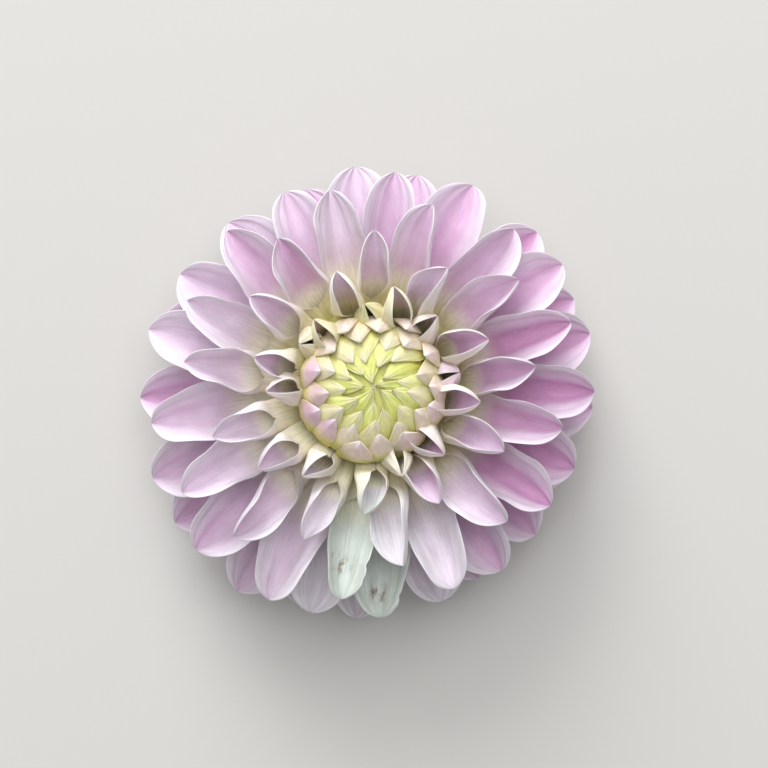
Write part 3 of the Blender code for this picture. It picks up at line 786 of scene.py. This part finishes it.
def tinted_finish(name, base, tints):
    """A finish for petals and leaves: colours over a base by their weights, then shading.

    Tints give each colour under its weight's name.  The flush runs in the veins, and a bruise
    breaks up into blots.  Veins, grain and mottle darken and lighten the mixed colour, and the
    veins stand out of the surface.
    """
    roughness, translucence, vein_depth = FINISHES[name]
    nodes = Nodes(name)
    patterns = {pattern: nodes.noise(stretch, detail, rough)
                for pattern, (stretch, detail, rough, _, _) in SHADING.items()}
    mixed = tuple(base)
    for tint, shade in tints.items():
        weight = nodes.value_of(tint)
        if tint == "bruise":
            blots = nodes.ramp(nodes.noise(*BLOTS), BLOT_EDGES, (0.0, 1.0))
            weight = nodes.times(weight, blots)
        if tint == "flush":
            streaks = nodes.ramp(patterns["veins"], NOISE_RANGE, FLUSH_IN_VEINS)
            weight = nodes.times(weight, streaks)
        mixed = nodes.mix(weight, mixed, shade)
    for pattern, (_, _, _, dark, light) in SHADING.items():
        shade = nodes.ramp(patterns[pattern], NOISE_RANGE, (dark, light))
        mixed = nodes.mix(1.0, mixed, shade, "MULTIPLY")
    nodes.link(mixed, nodes.shader.inputs["Base Color"])
    bump = nodes.node("ShaderNodeBump")
    bump.inputs["Strength"].default_value = VEIN_STRENGTH
    bump.inputs["Distance"].default_value = vein_depth
    nodes.link(patterns["veins"], bump.inputs["Height"])
    nodes.link(bump.outputs["Normal"], nodes.shader.inputs["Normal"])
    settings = {"Roughness": roughness, "Subsurface Weight": translucence,
                "Subsurface Radius": (1.0, 0.6, 0.7), "Subsurface Scale": 0.0012,
                "Sheen Weight": 0.2, "Sheen Roughness": 0.4, "Specular IOR Level": 0.3}
    for setting, value in settings.items():
        nodes.shader.inputs[setting].default_value = value
    return nodes.material


def chosen(colours, *tints):
    """The named colours of the panel, by name."""
    return {tint: getattr(colours, tint) for tint in tints}


# ---- pieces

def floret_piece(name, k, sizes):
    """One piece of the open florets k."""
    faces, age, opened, distance = open_florets(k, *FLORET_GRID, sizes)
    level = (faces[0][..., 2] - AXIS[2]) / sizes.height
    tints = floret_tints(k, age, opened, *FLORET_GRID, distance / sizes.reach, level,
                         characters(sizes.seed)[k])
    return blade_piece(name, faces, tints, *FLORET_GRID, k)


class MakeRayFlorets(bpy.types.Operator):
    """Makes the open florets: a ring of tubes, then inner, middle and back cups"""

    bl_idname = "dahlia.make_ray_florets"
    bl_label = "Ray florets"

    def execute(self, context):
        sizes, colours = context.scene.dahlia_sizes, context.scene.dahlia_colours
        tints = chosen(colours, "flush", "magenta", "mint", "cream", "throat", "margin", "bruise")
        finish = tinted_finish("lavender_petals", colours.petal, tints)
        first = DOME_FLORETS
        for name, end in FLORET_PIECES.items():
            piece = floret_piece(name, np.arange(first, end), sizes)
            accept(piece, "ray_florets", finish)
            first = end
        return {"FINISHED"}


def lean_back(points):
    """Shifts the dome to the bloom's leaning side, in proportion to the depth under its apex."""
    depth = np.clip((DOME_EQUATOR + DOME_RISE - points[..., 2]) / DOME_RISE, 0, 1)
    side = math.radians(LEAN_SIDE)
    return points + DOME_LEAN * depth[..., None] * (math.cos(side), math.sin(side), 0)


def dome_scales(k, t, x, sizes):
    """The outer and inner face of the unopened florets: keeled, pointed teeth on the dome.

    The midrib runs over the dome's ellipsoid from foot to tip and rises from it towards the
    tip.  Points beside it start out sideways and are drawn back on to the ellipsoid, and fall
    away from the keel in two flat facets.  The tip's distance from the apex is
    spacing sqrt(k + 0.4) - inset.  Scales near the apex swirl and are crumpled in folds.
    """
    change = variations(sizes.seed)[k]
    tip_draw, swirl_draw, lean_draw, rise_draw, fold_draw = (
        per_blade(draws) for draws in characters(sizes.seed)[k, :5].T)
    share = per_blade(k / DOME_FLORETS)
    distance = np.maximum(SCALE_SPACING * np.sqrt(k + 0.4) - SCALE_INSET, SCALE_LEAST_DISTANCE)
    tip_angle = per_blade(np.arcsin(distance / DOME_RADIUS)) * (1 + 0.05 * tip_draw)
    foot_angle = np.minimum(tip_angle + math.radians(SCALE_LENGTH),
                            math.radians(SCALE_LOWEST_FOOT))
    rows, x = t[None, :, None], x[None, None]
    polar = foot_angle + (tip_angle - foot_angle) * rows
    half_width = SCALE_HALF_WIDTH + SCALE_WIDENING * share
    half_width = half_width * (1 + 2 * per_blade(change[:, WIDTH]))
    point = 1 - np.clip((rows - 0.52) / 0.48, 0, 1) ** 1.5
    side = x * half_width * np.maximum(point, 0.03) / DOME_RADIUS
    swirl = (0.05 + 0.15 * (1 - share) ** 3) * swirl_draw + 0.5 * (1 - share) ** 2
    heading = per_blade(azimuth(k) + np.radians(change[:, YAW])) + swirl * rows
    unit = around(np.sin(polar), side, heading, np.cos(polar))
    unit /= np.linalg.norm(unit, axis=-1, keepdims=True)
    lean = x * 0.030 * lean_draw
    keel = SCALE_KEEL * (1 - np.abs(x) ** 1.15) + lean
    keel = keel * smooth(0.0, 0.5, rows) * point ** 0.4
    rise = (0.09 + 0.14 * share) * rows ** 2 * (1 + 0.35 * rise_draw)
    folds = 0.028 * (1 - share) ** 3 * np.sin(13 * x + 7 * rows + 9 * fold_draw) * rows
    outer = SCALE_LEVEL + 0.07 * share + keel + rise + folds
    semi_axes = np.array((DOME_RADIUS, DOME_RADIUS, DOME_RISE))
    centre = np.array((0, 0, DOME_EQUATOR))
    return [AXIS + lean_back(centre + unit * level[..., None] * semi_axes)
            for level in (outer, outer - SCALE_THICKNESS * lip(rows, x, 30, 20))]


def scale_tints(k, t, x):
    """Weights of the scales' colours: green at the dome's middle, pink at a few on its rim, and
    painted shade in the throat colour at each scale's foot and down its sides.
    """
    share = per_blade(k / DOME_FLORETS)
    rows, x = t[None, :, None], np.abs(x)[None, None]
    rosy = (0.45 * per_blade(np.isin(k, ROSY_SCALES)) + 0.20 * share
            + 0.25 * share ** 2 * (1 - nearness(k, CREAM_DOME_SIDE)))
    tints = {
        "flush": rosy * smooth(0.2, 0.9, rows),
        "bud": (1 - smooth(0.0, 0.8, share)) * (1 - 0.5 * smooth(0.7, 1.0, rows)),
        # Painted shade: the throat colour at each scale's foot and down its sides, between the
        # scales.
        "throat": np.maximum(1 - smooth(0.3, 0.72, rows), 0.5 * x ** 3 * (1 - rows ** 4)),
        "margin": smooth(0.8, 1.0, rows) * 0.5 * share,
    }
    return {"outer": tints, "inner": tints}


def core_folds(angle, radius):
    """Shallow folds that meet at the growing point: a cosine round the axis under a bell."""
    return CORE_FOLD_HEIGHT * np.cos(angle * CORE_FOLDS) * hill(radius, 0.002, 0.002)


def core_tints(radius):
    """Bright green at the growing point, and further out the throat colour as painted shade under
    the scales.
    """
    bright = hill(radius, 0.0, 0.008)
    return {"bud": bright, "throat": 0.8 - 0.6 * bright}


class MakeCentreFlorets(bpy.types.Operator):
    """Makes the dome of unopened florets over the growing point"""

    bl_idname = "dahlia.make_centre_florets"
    bl_label = "Centre florets"

    def execute(self, context):
        sizes, colours = context.scene.dahlia_sizes, context.scene.dahlia_colours
        k = np.arange(DOME_FLORETS)
        tints = chosen(colours, "flush", "bud", "throat", "margin")
        finish = tinted_finish("yellow_green_buds", colours.scale, tints)
        scales = blade_piece("centre_scales", dome_scales(k, *SCALE_GRID, sizes),
                             scale_tints(k, *SCALE_GRID), *SCALE_GRID, k)
        # Half an ellipse, from its lower pole on the axis to its upper one.
        polar = np.linspace(math.pi, 0, 40)
        profile = np.stack((CORE_WIDTH * DOME_RADIUS * np.sin(polar),
                            DOME_EQUATOR + CORE_RISE * DOME_RISE * np.cos(polar)), axis=-1)
        grid = turned_grid(profile, segments=60)
        angle, radius, _ = grid
        core = turned_piece("growing_point", profile, grid, core_folds(angle, radius),
                            core_tints(radius), lean_back)
        for piece in (scales, core):
            accept(piece, "centre_florets", finish)
        return {"FINISHED"}


# ---- receptacle, bracts and stem

def foot_bumps(angle, radius, height):
    """Rows of small bumps, the feet of florets: cosines round the axis and up the side."""
    return np.cos(angle * FEET_ROUND) * np.cos(height * FEET_UP) * np.minimum(1, radius / 0.01)


class MakeReceptacle(bpy.types.Operator):
    """Makes the receptacle under the open florets, set with the florets' feet"""

    bl_idname = "dahlia.make_receptacle"
    bl_label = "Receptacle"

    def execute(self, context):
        sizes, colours = context.scene.dahlia_sizes, context.scene.dahlia_colours
        profile = smooth_profile(RECEPTACLE, sizes.reach, sizes.height, rows=49)
        grid = turned_grid(profile, segments=170)
        bumps = foot_bumps(*grid)
        # The throat colour covers the receptacle, and is strongest in the hollows between the bumps
        # as painted shade.
        tints = {"throat": 0.75 - 0.25 * bumps, "leaf": 0.2 + 0 * bumps}
        piece = turned_piece("receptacle", profile, grid, FOOT_BUMP * bumps, tints)
        finish = tinted_finish("receptacle_green", colours.cream,
                               chosen(colours, "throat", "leaf"))
        accept(piece, "ray_florets", finish)
        return {"FINISHED"}


def bract_piece(name, count, first, root, tip, slopes, half_width, cup, thickness, seed):
    """A whorl of bracts: ovate blades on Bezier midribs, cupped, ribbed and tinted.

    The whorl starts at the angle first.  Half width is (sin of pi (0.16 + 0.84 t^0.9))^0.7.  The
    cup rises with the square of x.  Ribs are cosines across the blade, the margins wave with
    the third power of x, and seeded draws lift each tip and turn it aside.
    """
    width_draw, wave_draw, lift_draw, turn_draw, reach_draw, _ = (
        per_blade(draws)
        for draws in np.random.default_rng(seed).uniform(-1, 1, size=(count, 6)).T)
    index = np.arange(count)
    t, x = BRACT_GRID[0][None, :, None], BRACT_GRID[1][None, None]
    root, tip = np.array(root), np.array(tip)
    arm = 0.40 * np.linalg.norm(tip - root)
    knots = (root, root + arm * heading_of(slopes[0]), tip - arm * heading_of(slopes[1]), tip)
    path_out, path_up = (bezier([knot[axis] for knot in knots], t) for axis in (0, 1))
    ovate = np.maximum(np.sin(math.pi * np.clip(0.16 + 0.84 * t ** 0.9, 0, 0.998)), 0.01) ** 0.7
    width = half_width * (1 + 0.08 * width_draw) * ovate
    side = x * width
    ribs = RIB_HEIGHT * np.cos(x * 6 * math.pi) * (1 - x ** 4) * ovate
    waves = np.abs(x) ** 3 * np.sin(t * 13 + 3 * wave_draw + 2 * np.sign(x)) * ovate
    rise = (path_up - BRACT_STEP * per_blade(index % 2) + cup * width * x ** 2 + ribs
            + BRACT_WAVE * waves + BRACT_LIFT * lift_draw * t ** 2)
    turn = per_blade(math.radians(first) + index * 2 * math.pi / count) + 0.05 * turn_draw * t
    out = path_out * (1 + 0.05 * reach_draw * t)
    faces = [AXIS + around(out, side, turn, rise + inset * lip(t, x, 30, 16))
             for inset in (0.0, thickness)]
    tints = {"pale": 0.5 * np.abs(x) ** 6 + 0.3 * t ** 4,
             "vein": 0.25 * (1 + np.cos(x * 6 * math.pi)) * (1 - x ** 4),
             "throat": 0.5 * (1 - smooth(0.1, 0.5, t))}
    return blade_piece(name, faces, {"outer": tints, "inner": tints}, *BRACT_GRID, index)


class MakeInnerBracts(bpy.types.Operator):
    """Makes the papery bracts under the back florets"""

    bl_idname = "dahlia.make_inner_bracts"
    bl_label = "Inner bracts"

    def execute(self, context):
        sizes, colours = context.scene.dahlia_sizes, context.scene.dahlia_colours
        piece = bract_piece(
            "papery_bracts", count=8, first=20.0, root=(0.0060, COLLAR_TOP - 0.0010),
            tip=(0.0252, COLLAR_TOP - 0.0026), slopes=(4, -14), half_width=0.0062, cup=0.10,
            thickness=sizes.bract_thickness, seed=21)
        tints = {"pale": colours.bract_pale, "vein": colours.bract_vein, "throat": colours.throat}
        finish = tinted_finish("papery_bracts", colours.bract, tints)
        accept(piece, "inner_bracts", finish)
        return {"FINISHED"}


def stem_ridges(angle, radius, height):
    """Shallow ridges up the stem: a cosine round the axis that fades into the cup."""
    stem = 1 - smooth(0.45 * CUP_TOP, 0.7 * CUP_TOP, height)
    outside = smooth(0.35 * CUP_RADIUS, 0.41 * CUP_RADIUS, radius)
    return RIDGE_HEIGHT * np.cos(angle * STEM_RIDGES) * stem * outside


def stem_tints(angle, radius, height):
    """Pale pith in the hollow and on the cut face, paler ridges, and a pale rim of the cup."""
    hollow = 1 - smooth(0.30 * CUP_RADIUS, 0.34 * CUP_RADIUS, radius)
    cut = np.clip(1 - smooth(0.0, 0.0002, height) + hollow, 0, 1)
    return {"pith": cut * (1 - smooth(0.37 * CUP_RADIUS, 0.40 * CUP_RADIUS, radius)),
            "vein": 0.35 + 0.35 * np.cos(angle * STEM_RIDGES),
            "pale": 0.4 * smooth(0.6 * CUP_TOP, 0.9 * CUP_TOP, height)}


class MakeStemAndBracts(bpy.types.Operator):
    """Makes the cut stem, the green cup under the head and its leafy outer bracts"""

    bl_idname = "dahlia.make_stem_and_bracts"
    bl_label = "Stem and outer bracts"

    def execute(self, context):
        sizes, colours = context.scene.dahlia_sizes, context.scene.dahlia_colours
        leaves = bract_piece(
            "outer_bracts", count=7, first=5.0, root=(0.0060, 0.78 * CUP_TOP),
            tip=(0.0188, 0.20 * CUP_TOP), slopes=(2, -38), half_width=0.0046, cup=0.16,
            thickness=sizes.leaf_thickness, seed=22)
        tints = {"pale": colours.leaf_pale, "vein": colours.leaf_vein, "throat": colours.leaf_foot}
        finish = tinted_finish("leafy_green", colours.leaf, tints)
        accept(leaves, "stem_and_bracts", finish)
        profile = smooth_profile(STEM, CUP_RADIUS, CUP_TOP, rows=91)
        grid = turned_grid(profile, segments=120)
        stem = turned_piece("cut_stem", profile, grid, stem_ridges(*grid), stem_tints(*grid))
        tints = {"pale": colours.cup_pale, "vein": colours.stem_ridge, "pith": colours.pith}
        finish = tinted_finish("green_stem", colours.leaf, tints)
        accept(stem, "stem_and_bracts", finish)
        return {"FINISHED"}


# ---- the stage

def soft_lamp(name, watts, side, place):
    """A square area light that faces the flower."""
    lamp = bpy.data.lights.new(name, "AREA")
    lamp.size = side
    lamp.energy = watts
    light = bpy.data.objects.new(name, lamp)
    light.location = place
    light.rotation_euler = (-light.location).to_track_quat("-Z", "Y").to_euler()
    bpy.context.scene.collection.objects.link(light)


class SetStage(bpy.types.Operator):
    """Lays the pale floor, and sets the soft light and the camera"""

    bl_idname = "dahlia.set_stage"
    bl_label = "Stage"

    def execute(self, context):
        stage = context.scene.dahlia_stage
        bpy.ops.mesh.primitive_plane_add(size=FLOOR_SIDE)
        floor = context.object
        floor.name = "floor"
        nodes = Nodes("floor_pale")
        nodes.shader.inputs["Base Color"].default_value = (*stage.floor, 1.0)
        nodes.shader.inputs["Roughness"].default_value = 0.9
        floor.data.materials.append(nodes.material)
        world = bpy.data.worlds.new("soft_light")
        context.scene.world = world
        world.use_nodes = True
        sky = world.node_tree.nodes["Background"]
        sky.inputs["Color"].default_value = (1, 1, 1, 1)
        sky.inputs["Strength"].default_value = stage.fill
        for name, (place, side) in LAMPS.items():
            soft_lamp(name, getattr(stage, name + "_power"), side, place)
        lens = bpy.data.cameras.new("camera")
        lens.sensor_width = SENSOR_WIDTH
        lens.lens = SENSOR_WIDTH * (stage.camera_height - VIEW_LEVEL) / VIEW_WIDTH
        camera = bpy.data.objects.new("camera", lens)
        camera.location = (*VIEW_MIDDLE, stage.camera_height)
        context.scene.collection.objects.link(camera)
        context.scene.camera = camera
        context.scene.view_settings.view_transform = "Standard"
        return {"FINISHED"}


class DAHLIA_PT_panel(bpy.types.Panel):
    """Lists the sizes, the colours and the pieces of the dahlia flower"""

    bl_label = "Dahlia flower"
    bl_space_type = "VIEW_3D"
    bl_region_type = "UI"
    bl_category = "Dahlia"

    def draw(self, context):
        for name, kind in GROUPS.items():
            box = self.layout.box()
            for setting in kind.__annotations__:
                box.prop(getattr(context.scene, name), setting)
        for step in STEPS:
            self.layout.operator(step.bl_idname)


GROUPS = {"dahlia_sizes": DahliaSizes, "dahlia_colours": DahliaColours,
          "dahlia_stage": DahliaStage}
STEPS = (MakeRayFlorets, MakeReceptacle, MakeCentreFlorets, MakeInnerBracts, MakeStemAndBracts,
         SetStage)


def register():
    """Adds the classes and the scene's groups of properties."""
    for kind in (*GROUPS.values(), *STEPS, DAHLIA_PT_panel):
        bpy.utils.register_class(kind)
    for name, kind in GROUPS.items():
        setattr(bpy.types.Scene, name, bpy.props.PointerProperty(type=kind))


def unregister():
    """Removes what register added."""
    for name in GROUPS:
        delattr(bpy.types.Scene, name)
    for kind in (DAHLIA_PT_panel, *reversed(STEPS), *GROUPS.values()):
        bpy.utils.unregister_class(kind)


def main():
    """Registers the classes, then makes every piece and the stage."""
    register()
    for step in STEPS:
        getattr(bpy.ops.dahlia, step.bl_idname.removeprefix("dahlia."))()


if __name__ == "__main__":
    main()
